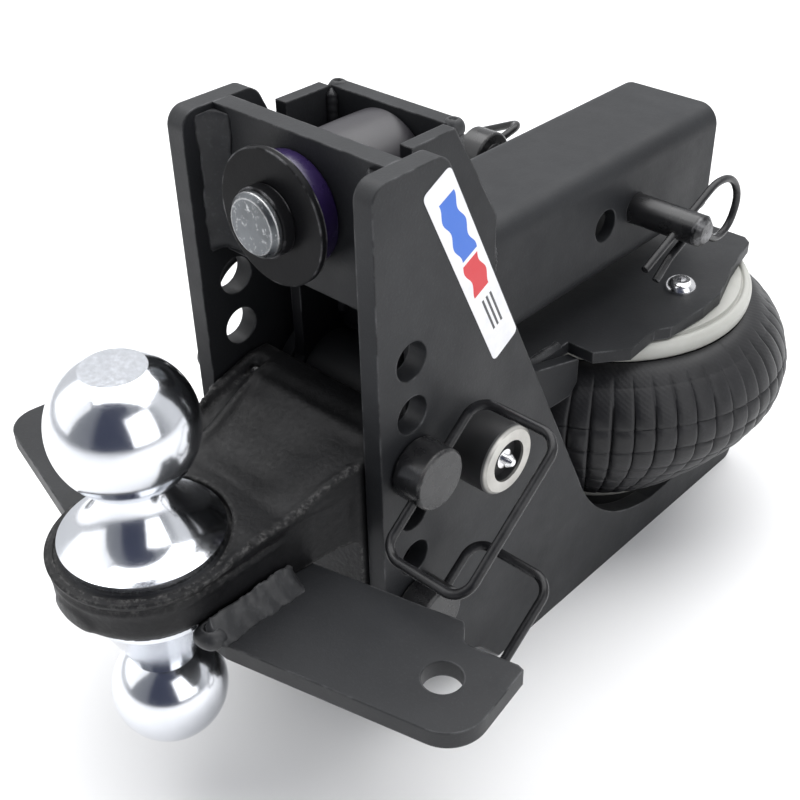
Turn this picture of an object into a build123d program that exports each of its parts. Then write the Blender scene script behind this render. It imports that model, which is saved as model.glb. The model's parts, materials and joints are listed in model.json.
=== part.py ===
from build123d import *
import os
from math import cos, radians, sin

# An air-cushioned trailer hitch with a two-ball mount.  Millimetres, +Z up, +Y toward the vehicle.
# The origin is the hitch-pin axis on the centreline of the shank.

# Driving dimensions: shank tube
SHANK_SIZE = 63.5
SHANK_WALL = 6.35
SHANK_CORNER = 11.0
SHANK_FRONT = -138.4
SHANK_REAR = 72.0
SHANK_PIN_HOLE_R = 8.0
SPARE_HOLE_R = 8.5
SPARE_HOLE_Y = -26.0

# Channel that carries the ball mount and swings on the pivot
CHANNEL_INNER = 47.625
CHANNEL_PLATE = 9.525
CHANNEL_FRONT = -213.5
CHANNEL_TOP = 95.5
TAIL_TOP = -178.5
TAIL_BOTTOM = -200.5
TAIL_REAR = 98.0
HOLE_Y = -194.5
HOLE_TOP_Z = 14.8
HOLE_PITCH = 25.8
HOLE_COUNT = 6
HOLE_R = 8.75
WEB_FRONT = -197.0
WEB_REAR = -187.5
WEB_BOTTOM = 29.0
WEB_HOLE_R = 17.5

# Inner frame welded to the shank
FRAME_INNER = 31.75
FRAME_PLATE = 6.35
FRAME_FRONT = -172.0
FRAME_TOP = 91.5
BACK_PLATE_FRONT = -146.0
BACK_PLATE_BOTTOM = -26.0

# Pivot
PIVOT_Y = -154.0
PIVOT_Z = -48.5
PIVOT_R = 17.0
PIVOT_HALF = 76.0
PIVOT_RECESS_R = 10.0
PIVOT_RECESS_DEPTH = 5.0
BUSHING_INNER_R = 17.05
BUSHING_OUTER_R = 19.5
HOUSING_R = 22.0
EAR_R = 24.0
ARM_R = 26.0
ARM_OUTER = 44.45
ARM_REAR = -59.5

# Stop rod, its washer and the two bumpers
ROD_Z = 65.0
ROD_R = 13.5
ROD_FRONT = -222.0
COLLAR_R = 14.6
WASHER_R = 28.5
WASHER_FRONT = -212.0
WASHER_REAR = -209.0
FRONT_BUMPER_R = 24.0
REAR_BUMPER_R = 25.0
BUMPER_BORE_R = 13.8

# Air bag and its plates
BAG_Y = 24.0
MOUNT_TOP = -48.5
MOUNT_BOTTOM = -54.85
UPPER_BEAD_R = 81.0
UPPER_BEAD_BOTTOM = -66.5
LOWER_BEAD_R = 50.0
LOWER_BEAD_TOP = -172.0
SEAT_THICK = 6.35
SEAT_LENGTH = 112.0
SEAT_BOLT_X = 25.0
MOUNT_SCREW_X = 50.3
MOUNT_SCREW_Y = 22.0

# Ball mount
BALL_Y = -292.0
UPPER_BALL_Z = 9.5
UPPER_BALL_R = 29.37
UPPER_BALL_FLAT = 35.9
LOWER_BALL_Z = -130.2
LOWER_BALL_R = 25.4
HEAD_R = 39.5
HEAD_TOP = -41.5
CAST_BOTTOM = -72.5
BLOCK_HALF = 46.5
BLOCK_REAR = -182.0
BLOCK_BOTTOM = -128.0
BLOCK_TOP = -24.5
RAMP_TOP = -31.0
RAMP_START = -250.0
GUSSET_HALF = 9.0
FLANGE_R = 33.8
FLANGE_TOP = -41.3
SEAT_RECESS_R = 36.0
SEAT_FLOOR = -46.0
SWAY_THICK = 8.0
SWAY_HOLE_X = 121.6
SWAY_HOLE_Y = -249.4
SWAY_HOLE_R = 8.25
SKIRT_R = 28.0
NECK_PLAN = ((39.5, -292.0), (40.0, -248.0), (42.5, -228.0), (46.0, -213.5))
RAMP_PLAN = ((40.0, -250.0), (42.5, -228.0), (46.0, -213.5))

# Lock pins, their wire handles and spring clips
PIN_R = 7.9375
PIN_BORE_R = 7.9875
PIN_LENGTH = 149.0
KNOB_R = 14.0
KNOB_LENGTH = 15.0
HANDLE_INSET = 6.0
CLIP_INSET = 135.0
TIP_CHAMFER = 2.5
WIRE_R = 2.2
WIRE_BORE_R = 2.28
HANDLE_LONG = 75.0
HANDLE_SHORT = 43.0
HANDLE_CORNER = 9.0
CLIP_WIRE_R = 2.0
CLIP_BORE_R = 2.08
CHANNEL_PIN_FACE = 72.6
HITCH_PIN_FACE = -76.0

SIDES = (("left", -1), ("right", 1))
UPPER_PIN_Z = HOLE_TOP_Z - 2 * HOLE_PITCH
LOWER_PIN_Z = HOLE_TOP_Z - 5 * HOLE_PITCH
CHANNEL_OUTER = CHANNEL_INNER + CHANNEL_PLATE
HALF_SHANK = SHANK_SIZE / 2


def keep(piece, name):
    """Label a finished piece and write it to its own file."""
    piece.label = name
    export_step(piece, f"parts/{name}.step")


def side_plane(side, inner, thick):
    """Plane across X on which a plate's profile is drawn as (Y, Z) and extruded toward +X."""
    return Plane.YZ.offset(inner if side > 0 else -inner - thick)


def front_plane(y):
    """Plane facing the front at the given Y; its sketches read as (X, Z)."""
    return Plane(origin=(0, y, 0), x_dir=(1, 0, 0), z_dir=(0, -1, 0))


# ---------------------------------------------------------------- shank and inner frame
def make_shank():
    with BuildPart() as tube:
        with BuildSketch(front_plane(SHANK_REAR)):
            RectangleRounded(SHANK_SIZE, SHANK_SIZE, SHANK_CORNER)
            inner = SHANK_SIZE - 2 * SHANK_WALL
            RectangleRounded(inner, inner, SHANK_CORNER - SHANK_WALL, mode=Mode.SUBTRACT)
        extrude(amount=SHANK_REAR - SHANK_FRONT)
        with BuildSketch(Plane.YZ):
            Circle(SHANK_PIN_HOLE_R)
            with Locations((SPARE_HOLE_Y, 0)):
                Circle(SPARE_HOLE_R)
        extrude(amount=SHANK_SIZE, both=True, mode=Mode.SUBTRACT)
    return tube.part


def make_frame_side(side):
    """Upright plate beside the shank, with an ear round the pivot housing."""
    with BuildPart() as plate:
        with BuildSketch(side_plane(side, FRAME_INNER, FRAME_PLATE)):
            with BuildLine():
                Polyline(
                    (FRAME_FRONT, FRAME_TOP),
                    (-147.0, FRAME_TOP),
                    (-120.0, 44.0),
                    (-119.5, -38.0),
                    (PIVOT_Y, PIVOT_Z),
                    (FRAME_FRONT, PIVOT_Z),
                    close=True,
                )
            make_face()
            with Locations((PIVOT_Y, PIVOT_Z)):
                Circle(EAR_R)
                Circle(BUSHING_OUTER_R, mode=Mode.SUBTRACT)
        extrude(amount=FRAME_PLATE)
    return plate.part


def make_back_plate():
    """Cross plate between the uprights; the stop rod is fixed through it."""
    height = FRAME_TOP - BACK_PLATE_BOTTOM
    with BuildPart() as plate:
        with BuildSketch(front_plane(SHANK_FRONT)):
            with Locations((0, BACK_PLATE_BOTTOM + height / 2)):
                Rectangle(2 * FRAME_INNER, height)
            with Locations((0, ROD_Z)):
                Circle(ROD_R, mode=Mode.SUBTRACT)
        extrude(amount=SHANK_FRONT - BACK_PLATE_FRONT)
    return plate.part


def make_pivot_arm(side):
    """Doubler outside the upright that runs back under the air-bag plate."""
    with BuildPart() as arm:
        with BuildSketch(side_plane(side, FRAME_INNER + FRAME_PLATE, ARM_OUTER - FRAME_INNER - FRAME_PLATE)):
            with BuildLine():
                Polyline(
                    (-138.0, -28.0),
                    (-94.5, -46.0),
                    (ARM_REAR, -56.0),
                    (ARM_REAR, -70.0),
                    (ARM_REAR - 6.0, -75.5),
                    (-142.0, -71.0),
                    close=True,
                )
            make_face()
            with Locations((PIVOT_Y, PIVOT_Z)):
                Circle(ARM_R)
                Circle(BUSHING_OUTER_R, mode=Mode.SUBTRACT)
        extrude(amount=ARM_OUTER - FRAME_INNER - FRAME_PLATE)
    return arm.part


def pivot_ring(outer, inner, start, stop):
    """Ring about the pivot axis between two X stations."""
    with BuildPart() as ring:
        with BuildSketch(Plane.YZ.offset(start)):
            with Locations((PIVOT_Y, PIVOT_Z)):
                Circle(outer)
                Circle(inner, mode=Mode.SUBTRACT)
        extrude(amount=stop - start)
    return ring.part


def make_bushings():
    bush_start = 8.0
    with BuildPart() as bushings:
        for start in (bush_start, -ARM_OUTER):
            with BuildSketch(Plane.YZ.offset(start)):
                with Locations((PIVOT_Y, PIVOT_Z)):
                    Circle(BUSHING_OUTER_R)
                    Circle(BUSHING_INNER_R, mode=Mode.SUBTRACT)
            extrude(amount=ARM_OUTER - bush_start)
    return bushings.part


def make_mount_plate():
    """Plate under the shank that carries the air bag: a narrow tongue and a shaped pad."""
    half_pad = (
        (53.0, -60.0),
        (65.2, -45.0),
        (63.8, -23.0),
        (68.6, -15.0),
        (70.7, 12.0),
        (69.7, 30.0),
        (60.0, 58.0),
        (57.3, 68.0),
        (52.0, 90.0),
        (47.0, 94.0),
    )
    tongue_front = -131.0
    tongue_step = -119.0
    with BuildPart() as plate:
        with BuildSketch(Plane.XY.offset(MOUNT_BOTTOM)):
            with BuildLine():
                right = [(38.0, -60.0), *half_pad]
                left = [(-x, y) for x, y in reversed(right)]
                Polyline(*right, *left, close=True)
            make_face()
            with Locations((0, (tongue_step - 60.0) / 2)):
                Rectangle(76.0, -60.0 - tongue_step)
            with Locations((0, (tongue_front + tongue_step) / 2)):
                Rectangle(2 * FRAME_INNER, tongue_step - tongue_front)
            with Locations((MOUNT_SCREW_X, MOUNT_SCREW_Y), (-MOUNT_SCREW_X, MOUNT_SCREW_Y)):
                Circle(4.0, mode=Mode.SUBTRACT)
        extrude(amount=MOUNT_TOP - MOUNT_BOTTOM)
    return plate.part


def make_frame_welds():
    """Corner beads between the cross plate and the uprights, and round the shank's front end."""
    bead = 5.0
    low = HALF_SHANK + 1.0
    cross_half = 24.0
    with BuildPart() as welds:
        for _, side in SIDES:
            with BuildSketch(Plane.XY.offset(low)):
                with BuildLine():
                    Polyline(
                        (side * FRAME_INNER, SHANK_FRONT),
                        (side * (FRAME_INNER - bead), SHANK_FRONT),
                        (side * FRAME_INNER, SHANK_FRONT + bead),
                        close=True,
                    )
                make_face()
            extrude(amount=FRAME_TOP - 2.0 - low)
        with BuildSketch(Plane.YZ.offset(-cross_half)):
            with BuildLine():
                Polyline(
                    (SHANK_FRONT, HALF_SHANK),
                    (SHANK_FRONT, HALF_SHANK + bead),
                    (SHANK_FRONT + bead, HALF_SHANK),
                    close=True,
                )
            make_face()
        extrude(amount=2 * cross_half)
    return welds.part


# ---------------------------------------------------------------- stop rod
def rod_solid(profile):
    """Solid turned about the stop rod's axis from (radius, Y) points."""
    with BuildPart() as turned:
        with BuildSketch(Plane.XY.offset(ROD_Z)):
            with BuildLine():
                Polyline(*profile, close=True)
            make_face()
        revolve(axis=Axis((0, 0, ROD_Z), (0, 1, 0)))
    return turned.part


def make_stop_rod():
    chamfer_size = 2.0
    return rod_solid(
        (
            (0, ROD_FRONT),
            (ROD_R - chamfer_size, ROD_FRONT),
            (ROD_R, ROD_FRONT + chamfer_size),
            (ROD_R, SHANK_FRONT + 4.0),
            (0, SHANK_FRONT + 4.0),
        )
    )


def rod_ring(outer, inner, front, rear, edge=0.0):
    return rod_solid(
        (
            (inner, front),
            (outer - edge, front),
            (outer, front + edge),
            (outer, rear - edge),
            (outer - edge, rear),
            (inner, rear),
        )
        if edge
        else ((inner, front), (outer, front), (outer, rear), (inner, rear))
    )


# ---------------------------------------------------------------- channel
def make_side_plate(side):
    with BuildPart() as plate:
        with BuildSketch(side_plane(side, CHANNEL_INNER, CHANNEL_PLATE)):
            with BuildLine():
                Line((-174.0, CHANNEL_TOP), (CHANNEL_FRONT, CHANNEL_TOP))
                Line((CHANNEL_FRONT, CHANNEL_TOP), (CHANNEL_FRONT, -140.0))
                Line((CHANNEL_FRONT, -140.0), (-147.0, -181.5))
                Line((-147.0, -181.5), (-131.0, TAIL_BOTTOM))
                Line((-131.0, TAIL_BOTTOM), (TAIL_REAR, TAIL_BOTTOM))
                Line((TAIL_REAR, TAIL_BOTTOM), (TAIL_REAR, TAIL_TOP))
                Line((TAIL_REAR, TAIL_TOP), (5.0, TAIL_TOP))
                ThreePointArc((5.0, TAIL_TOP), (-42.0, -158.0), (-69.5, -120.5))
                Line((-69.5, -120.5), (-174.0, CHANNEL_TOP))
            make_face()
            with Locations(*[(HOLE_Y, HOLE_TOP_Z - i * HOLE_PITCH) for i in range(HOLE_COUNT)]):
                Circle(HOLE_R, mode=Mode.SUBTRACT)
            with Locations((PIVOT_Y, PIVOT_Z)):
                Circle(PIVOT_R, mode=Mode.SUBTRACT)
        extrude(amount=CHANNEL_PLATE)
        top = plate.edges().filter_by(Axis.X).group_by(Axis.Z)[-1]
        fillet(top, radius=8.0)
        low_front = plate.edges().filter_by(Axis.X).filter_by_position(Axis.Z, -182.0, -139.0)
        fillet(low_front.filter_by_position(Axis.Y, -214.0, -146.0), radius=12.0)
        rear = plate.edges().filter_by(Axis.X).group_by(Axis.Y)[-1]
        fillet(rear, radius=6.0)
    return plate.part


def make_web():
    height = CHANNEL_TOP - WEB_BOTTOM
    with BuildPart() as web:
        with BuildSketch(front_plane(WEB_REAR)):
            with Locations((0, WEB_BOTTOM + height / 2)):
                Rectangle(2 * CHANNEL_INNER, height)
            with Locations((0, ROD_Z)):
                Circle(WEB_HOLE_R, mode=Mode.SUBTRACT)
        extrude(amount=WEB_REAR - WEB_FRONT)
    return web.part


def make_channel_welds():
    """Beads down the rear face of the web and under the seat plate."""
    bead = 4.5
    with BuildPart() as welds:
        for _, side in SIDES:
            with BuildSketch(Plane.XY.offset(WEB_BOTTOM + 3.0)):
                with BuildLine():
                    Polyline(
                        (side * CHANNEL_INNER, WEB_REAR),
                        (side * (CHANNEL_INNER - bead), WEB_REAR),
                        (side * CHANNEL_INNER, WEB_REAR + bead),
                        close=True,
                    )
                make_face()
            extrude(amount=CHANNEL_TOP - WEB_BOTTOM - 12.0)
            with BuildSketch(front_plane(80.0)):
                with BuildLine():
                    Polyline(
                        (side * CHANNEL_INNER, TAIL_TOP - SEAT_THICK),
                        (side * (CHANNEL_INNER - bead), TAIL_TOP - SEAT_THICK),
                        (side * CHANNEL_INNER, TAIL_TOP - SEAT_THICK - bead),
                        close=True,
                    )
                make_face()
            extrude(amount=105.0)
    return welds.part


def make_pivot_shaft():
    edge = 2.0
    with BuildPart() as shaft:
        with BuildSketch(Plane.YZ.offset(-PIVOT_HALF)):
            with Locations((PIVOT_Y, PIVOT_Z)):
                Circle(PIVOT_R)
        extrude(amount=2 * PIVOT_HALF)
        for _, side in SIDES:
            start = side * (PIVOT_HALF - PIVOT_RECESS_DEPTH)
            with BuildSketch(Plane.YZ.offset(min(start, side * PIVOT_HALF))):
                with Locations((PIVOT_Y, PIVOT_Z)):
                    Circle(PIVOT_RECESS_R)
            extrude(amount=PIVOT_RECESS_DEPTH, mode=Mode.SUBTRACT)
        rims = shaft.edges().filter_by(GeomType.CIRCLE).filter_by(lambda e: e.radius > PIVOT_R - 0.1)
        chamfer(rims, length=edge)
    return shaft.part


def make_grease_fittings():
    with BuildPart() as fittings:
        for _, side in SIDES:
            base = PIVOT_HALF - PIVOT_RECESS_DEPTH
            with BuildSketch(Plane.XY.offset(PIVOT_Z)):
                with BuildLine():
                    Polyline(
                        (side * base, PIVOT_Y),
                        (side * base, PIVOT_Y + 4.6),
                        (side * (base + 2.5), PIVOT_Y + 4.6),
                        (side * (base + 3.2), PIVOT_Y + 2.4),
                        (side * (base + 5.2), PIVOT_Y + 3.1),
                        (side * (base + 7.4), PIVOT_Y + 1.6),
                        (side * (base + 7.4), PIVOT_Y),
                        close=True,
                    )
                make_face()
            revolve(axis=Axis((0, PIVOT_Y, PIVOT_Z), (1, 0, 0)))
    return fittings.part


def make_seat_plate():
    with BuildPart() as plate:
        with BuildSketch(Plane.XY.offset(TAIL_TOP - SEAT_THICK)):
            with Locations((0, BAG_Y)):
                Rectangle(2 * CHANNEL_INNER, SEAT_LENGTH)
                Circle(6.5, mode=Mode.SUBTRACT)
            with Locations((-SEAT_BOLT_X, BAG_Y), (SEAT_BOLT_X, BAG_Y)):
                Circle(5.0, mode=Mode.SUBTRACT)
        extrude(amount=SEAT_THICK)
    return plate.part


# ---------------------------------------------------------------- air bag
def bag_solid(profile, smooth=False):
    """Solid turned about the bag's vertical axis from (radius, Z) points."""
    with BuildPart() as turned:
        with BuildSketch(Plane(origin=(0, BAG_Y, 0), x_dir=(1, 0, 0), z_dir=(0, -1, 0))):
            with BuildLine():
                if smooth:
                    Spline(*profile)
                    Polyline(profile[-1], (0, profile[-1][1]), (0, profile[0][1]), profile[0])
                else:
                    Polyline(*profile, close=True)
            make_face()
        revolve(axis=Axis((0, BAG_Y, 0), (0, 0, 1)))
    return turned.part


def make_upper_bead_plate():
    step = 4.0
    return bag_solid(
        (
            (0, MOUNT_BOTTOM),
            (UPPER_BEAD_R - step, MOUNT_BOTTOM),
            (UPPER_BEAD_R - step, MOUNT_BOTTOM - step),
            (UPPER_BEAD_R, MOUNT_BOTTOM - step),
            (UPPER_BEAD_R, UPPER_BEAD_BOTTOM),
            (0, UPPER_BEAD_BOTTOM),
        )
    )


def make_bellows():
    """Rubber bag: one bulging convolution that tucks in at the bottom between the side plates."""
    return bag_solid(
        (
            (80.0, UPPER_BEAD_BOTTOM),
            (88.5, -71.0),
            (97.0, -79.0),
            (103.5, -90.0),
            (106.0, -102.0),
            (104.5, -114.0),
            (99.0, -125.0),
            (91.0, -136.0),
            (82.0, -147.0),
            (73.0, -157.0),
            (64.0, -166.0),
            (54.0, LOWER_BEAD_TOP),
        ),
        smooth=True,
    )


def make_lower_bead_plate():
    return bag_solid(
        (
            (0, LOWER_BEAD_TOP),
            (LOWER_BEAD_R - 1.5, LOWER_BEAD_TOP),
            (LOWER_BEAD_R, LOWER_BEAD_TOP - 1.5),
            (LOWER_BEAD_R, TAIL_TOP),
            (0, TAIL_TOP),
        )
    )


def turned_z(x, y, profile):
    """Solid turned about a vertical axis at (x, y) from (radius, Z) points."""
    with BuildPart() as turned:
        with BuildSketch(Plane(origin=(x, y, 0), x_dir=(1, 0, 0), z_dir=(0, -1, 0))):
            with BuildLine():
                Polyline(*profile, close=True)
            make_face()
        revolve(axis=Axis((x, y, 0), (0, 0, 1)))
    return turned.part


def make_button_screws():
    """Two button-head screws with hexagon sockets that hold the bag to its plate."""
    head_r = 8.5
    head_h = 5.0
    socket_flat = 5.0
    with BuildPart() as screws:
        for x in (-MOUNT_SCREW_X, MOUNT_SCREW_X):
            with BuildSketch(Plane(origin=(x, MOUNT_SCREW_Y, 0), x_dir=(1, 0, 0), z_dir=(0, -1, 0))):
                with BuildLine():
                    Polyline((4.5, MOUNT_TOP + head_h), (0, MOUNT_TOP + head_h), (0, MOUNT_BOTTOM))
                    Polyline((0, MOUNT_BOTTOM), (3.9, MOUNT_BOTTOM), (3.9, MOUNT_TOP), (head_r, MOUNT_TOP))
                    ThreePointArc((head_r, MOUNT_TOP), (7.4, MOUNT_TOP + 3.1), (4.5, MOUNT_TOP + head_h))
                make_face()
            revolve(axis=Axis((x, MOUNT_SCREW_Y, 0), (0, 0, 1)))
        with BuildSketch(Plane.XY.offset(MOUNT_TOP + head_h)):
            with Locations((-MOUNT_SCREW_X, MOUNT_SCREW_Y), (MOUNT_SCREW_X, MOUNT_SCREW_Y)):
                RegularPolygon(socket_flat / 2, 6, major_radius=False)
        extrude(amount=-3.0, mode=Mode.SUBTRACT)
    return screws.part


def make_lower_bolts():
    """Hexagon-head bolts under the seat plate."""
    head_h = 6.4
    with BuildPart() as bolts:
        with BuildSketch(Plane.XY.offset(TAIL_TOP - SEAT_THICK - head_h)):
            with Locations((-SEAT_BOLT_X, BAG_Y), (SEAT_BOLT_X, BAG_Y)):
                RegularPolygon(7.2, 6, major_radius=False)
        extrude(amount=head_h)
        with BuildSketch(Plane.XY.offset(TAIL_TOP - SEAT_THICK)):
            with Locations((-SEAT_BOLT_X, BAG_Y), (SEAT_BOLT_X, BAG_Y)):
                Circle(4.8)
        extrude(amount=SEAT_THICK)
    return bolts.part


def make_air_valve():
    """Inflation valve that points down through the seat plate."""
    return turned_z(
        0,
        BAG_Y,
        (
            (0, TAIL_TOP),
            (6.3, TAIL_TOP),
            (6.3, TAIL_TOP - SEAT_THICK - 3.0),
            (4.0, TAIL_TOP - SEAT_THICK - 4.0),
            (4.0, TAIL_TOP - 21.0),
            (0, TAIL_TOP - 21.0),
        ),
    )


# ---------------------------------------------------------------- ball mount
def make_casting():
    """Forged head that seats the upper ball, with a neck and a block inside the channel."""
    block_front = CHANNEL_FRONT - 3.0
    with BuildPart() as casting:
        with BuildSketch(Plane.XY.offset(CAST_BOTTOM)):
            with Locations((0, BALL_Y)):
                Circle(HEAD_R)
            with BuildLine():
                Polyline(*NECK_PLAN, *[(-x, y) for x, y in reversed(NECK_PLAN)], close=True)
            make_face()
        extrude(amount=HEAD_TOP - CAST_BOTTOM)
        with BuildSketch(Plane.XY.offset(HEAD_TOP)):
            with BuildLine():
                Polyline(*RAMP_PLAN, *[(-x, y) for x, y in reversed(RAMP_PLAN)], close=True)
            make_face()
        extrude(amount=RAMP_TOP - HEAD_TOP)
        with BuildSketch(Plane.YZ.offset(-BLOCK_HALF)):
            with BuildLine():
                Polyline((RAMP_START, HEAD_TOP), (block_front, RAMP_TOP), (RAMP_START, RAMP_TOP), close=True)
            make_face()
        extrude(amount=2 * BLOCK_HALF, mode=Mode.SUBTRACT)
        with BuildSketch(Plane.YZ.offset(-BLOCK_HALF)):
            with BuildLine():
                Polyline(
                    (block_front, RAMP_TOP),
                    (-193.0, BLOCK_TOP),
                    (BLOCK_REAR, BLOCK_TOP),
                    (BLOCK_REAR, BLOCK_BOTTOM),
                    (-208.0, BLOCK_BOTTOM),
                    (block_front, -122.0),
                    close=True,
                )
            make_face()
        extrude(amount=2 * BLOCK_HALF)
        with BuildSketch(Plane.YZ.offset(-GUSSET_HALF)):
            with BuildLine():
                Polyline(
                    (-239.0, CAST_BOTTOM),
                    (CHANNEL_FRONT, CAST_BOTTOM),
                    (CHANNEL_FRONT, -114.0),
                    close=True,
                )
            make_face()
        extrude(amount=2 * GUSSET_HALF)
        with BuildSketch(Plane.YZ):
            with Locations((HOLE_Y, UPPER_PIN_Z), (HOLE_Y, LOWER_PIN_Z)):
                Circle(PIN_BORE_R)
        extrude(amount=2 * BLOCK_HALF, both=True, mode=Mode.SUBTRACT)
        with BuildSketch(Plane(origin=(0, BALL_Y, 0), x_dir=(1, 0, 0), z_dir=(0, -1, 0))):
            with BuildLine():
                Polyline(
                    (0, HEAD_TOP + 1.0),
                    (SEAT_RECESS_R, HEAD_TOP + 1.0),
                    (SEAT_RECESS_R, SEAT_FLOOR),
                    (0, SEAT_FLOOR),
                    close=True,
                )
            make_face()
        revolve(axis=Axis((0, BALL_Y, 0), (0, 0, 1)), mode=Mode.SUBTRACT)
    return casting.part


def make_upper_ball():
    """Ball with a flat top, a flared neck and a flange that sits in the head's recess."""
    flat_r = 12.9
    neck_r = 14.0
    neck_z = UPPER_BALL_Z - (UPPER_BALL_R**2 - neck_r**2) ** 0.5
    with BuildPart() as ball:
        with BuildSketch(Plane(origin=(0, BALL_Y, 0), x_dir=(1, 0, 0), z_dir=(0, -1, 0))):
            with BuildLine():
                ThreePointArc((flat_r, UPPER_BALL_FLAT), (UPPER_BALL_R, UPPER_BALL_Z), (neck_r, neck_z))
                ThreePointArc((neck_r, neck_z), (19.0, -30.5), (FLANGE_R, FLANGE_TOP))
                Polyline((FLANGE_R, FLANGE_TOP), (FLANGE_R, SEAT_FLOOR), (0, SEAT_FLOOR))
                Polyline((0, SEAT_FLOOR), (0, UPPER_BALL_FLAT), (flat_r, UPPER_BALL_FLAT))
            make_face()
        revolve(axis=Axis((0, BALL_Y, 0), (0, 0, 1)))
    return ball.part


def make_lower_ball():
    neck_r = 14.0
    neck_z = LOWER_BALL_Z + (LOWER_BALL_R**2 - neck_r**2) ** 0.5
    flat_r = 9.0
    flat_z = LOWER_BALL_Z - (LOWER_BALL_R**2 - flat_r**2) ** 0.5
    with BuildPart() as ball:
        with BuildSketch(Plane(origin=(0, BALL_Y, 0), x_dir=(1, 0, 0), z_dir=(0, -1, 0))):
            with BuildLine():
                Polyline((flat_r, flat_z), (0, flat_z), (0, CAST_BOTTOM), (SKIRT_R, CAST_BOTTOM))
                Polyline((SKIRT_R, CAST_BOTTOM), (SKIRT_R, -77.5))
                ThreePointArc((SKIRT_R, -77.5), (20.0, -94.0), (neck_r, neck_z))
                ThreePointArc((neck_r, neck_z), (LOWER_BALL_R, LOWER_BALL_Z), (flat_r, flat_z))
            make_face()
        revolve(axis=Axis((0, BALL_Y, 0), (0, 0, 1)))
    return ball.part


def make_sway_plate():
    """Wide plate under the head with a hole at each end for a sway-control ball."""
    half_outline = (
        (47.4, -293.6),
        (148.3, -268.3),
        (142.0, -226.0),
        (139.0, -225.3),
        (115.9, -230.8),
        (109.0, -221.5),
        (93.2, -225.6),
        (30.0, -240.4),
    )
    tip_r = 17.0
    notch_r = 5.0
    cut_r = 30.0
    with BuildPart() as plate:
        with BuildSketch(Plane.XY.offset(CAST_BOTTOM - SWAY_THICK)):
            with BuildLine():
                left = [(-x, y) for x, y in reversed(half_outline)]
                Polyline(*half_outline, *left, close=True)
            make_face()
            with Locations((SWAY_HOLE_X, SWAY_HOLE_Y), (-SWAY_HOLE_X, SWAY_HOLE_Y)):
                Circle(SWAY_HOLE_R, mode=Mode.SUBTRACT)
            with Locations((0, BALL_Y)):
                Circle(cut_r, mode=Mode.SUBTRACT)
        extrude(amount=SWAY_THICK)
        corners = plate.edges().filter_by(Axis.Z)
        tips = corners.filter_by_position(Axis.Y, -269.0, -268.0)
        notches = corners.filter_by_position(Axis.Y, -231.5, -230.0)
        steps = corners.filter_by_position(Axis.Y, -222.0, -221.0)
        fillet(tips, radius=tip_r)
        fillet(notches, radius=notch_r)
        fillet(steps, radius=2.0)
    return plate.part


def make_mount_welds():
    """Fillet beads along both sides of the neck on the sway plate."""
    bead = 6.0
    neck_half = 40.0
    with BuildPart() as welds:
        for _, side in SIDES:
            with BuildSketch(front_plane(-250.0)):
                with BuildLine():
                    Polyline(
                        (side * neck_half, CAST_BOTTOM),
                        (side * (neck_half + bead), CAST_BOTTOM),
                        (side * (neck_half + bead * 0.45), CAST_BOTTOM + bead * 0.6),
                        (side * neck_half, CAST_BOTTOM + bead),
                        close=True,
                    )
                make_face()
            extrude(amount=41.0)
    return welds.part


# ---------------------------------------------------------------- pins, handles and clips
def make_pin(face, side, y, z, handle_tilt, clip_tilt):
    """Lock pin along X: knob at the given face, bare chamfered tip at the other end."""
    with BuildPart() as pin:
        with BuildSketch(Plane.XY.offset(z)):
            with BuildLine():
                under = face - side * KNOB_LENGTH
                tip = face - side * PIN_LENGTH
                Polyline(
                    (face, y),
                    (face, y + KNOB_R - 1.0),
                    (face - side * 1.0, y + KNOB_R),
                    (under + side * 1.0, y + KNOB_R),
                    (under, y + KNOB_R - 1.0),
                    (under, y + PIN_R),
                    (tip + side * TIP_CHAMFER, y + PIN_R),
                    (tip, y + PIN_R - TIP_CHAMFER),
                    (tip, y),
                    close=True,
                )
            make_face()
        revolve(axis=Axis((0, y, z), (1, 0, 0)))
        for x, tilt, radius in (
            (face - side * HANDLE_INSET, handle_tilt, WIRE_BORE_R),
            (face - side * CLIP_INSET, clip_tilt, CLIP_BORE_R),
        ):
            along = (0, cos(radians(tilt)), sin(radians(tilt)))
            with BuildSketch(Plane(origin=(x, y, z), x_dir=(1, 0, 0), z_dir=along)):
                Circle(radius)
            extrude(amount=2 * KNOB_R, both=True, mode=Mode.SUBTRACT)
    return pin.part


def make_handle(face, side, y, z, tilt, swing):
    """Closed wire loop hinged through the knob; swing turns it about its long side."""
    along = Vector(0, cos(radians(tilt)), sin(radians(tilt)))
    out = Vector(side * cos(radians(swing)), 0, 0)
    down = Vector(0, sin(radians(tilt)), -cos(radians(tilt))) * sin(radians(swing))
    hinge = Vector(face - side * HANDLE_INSET, y, z)
    loop = Plane(origin=hinge, x_dir=along, z_dir=along.cross(out + down))
    with BuildPart() as handle:
        with BuildLine(loop):
            for end in (HANDLE_LONG / 2, -HANDLE_LONG / 2):
                FilletPolyline(
                    (0, 0),
                    (end, 0),
                    (end, HANDLE_SHORT),
                    (0, HANDLE_SHORT),
                    radius=HANDLE_CORNER,
                )
        with BuildSketch(Plane(origin=hinge, z_dir=along)):
            Circle(WIRE_R)
        sweep()
    return handle.part


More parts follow.
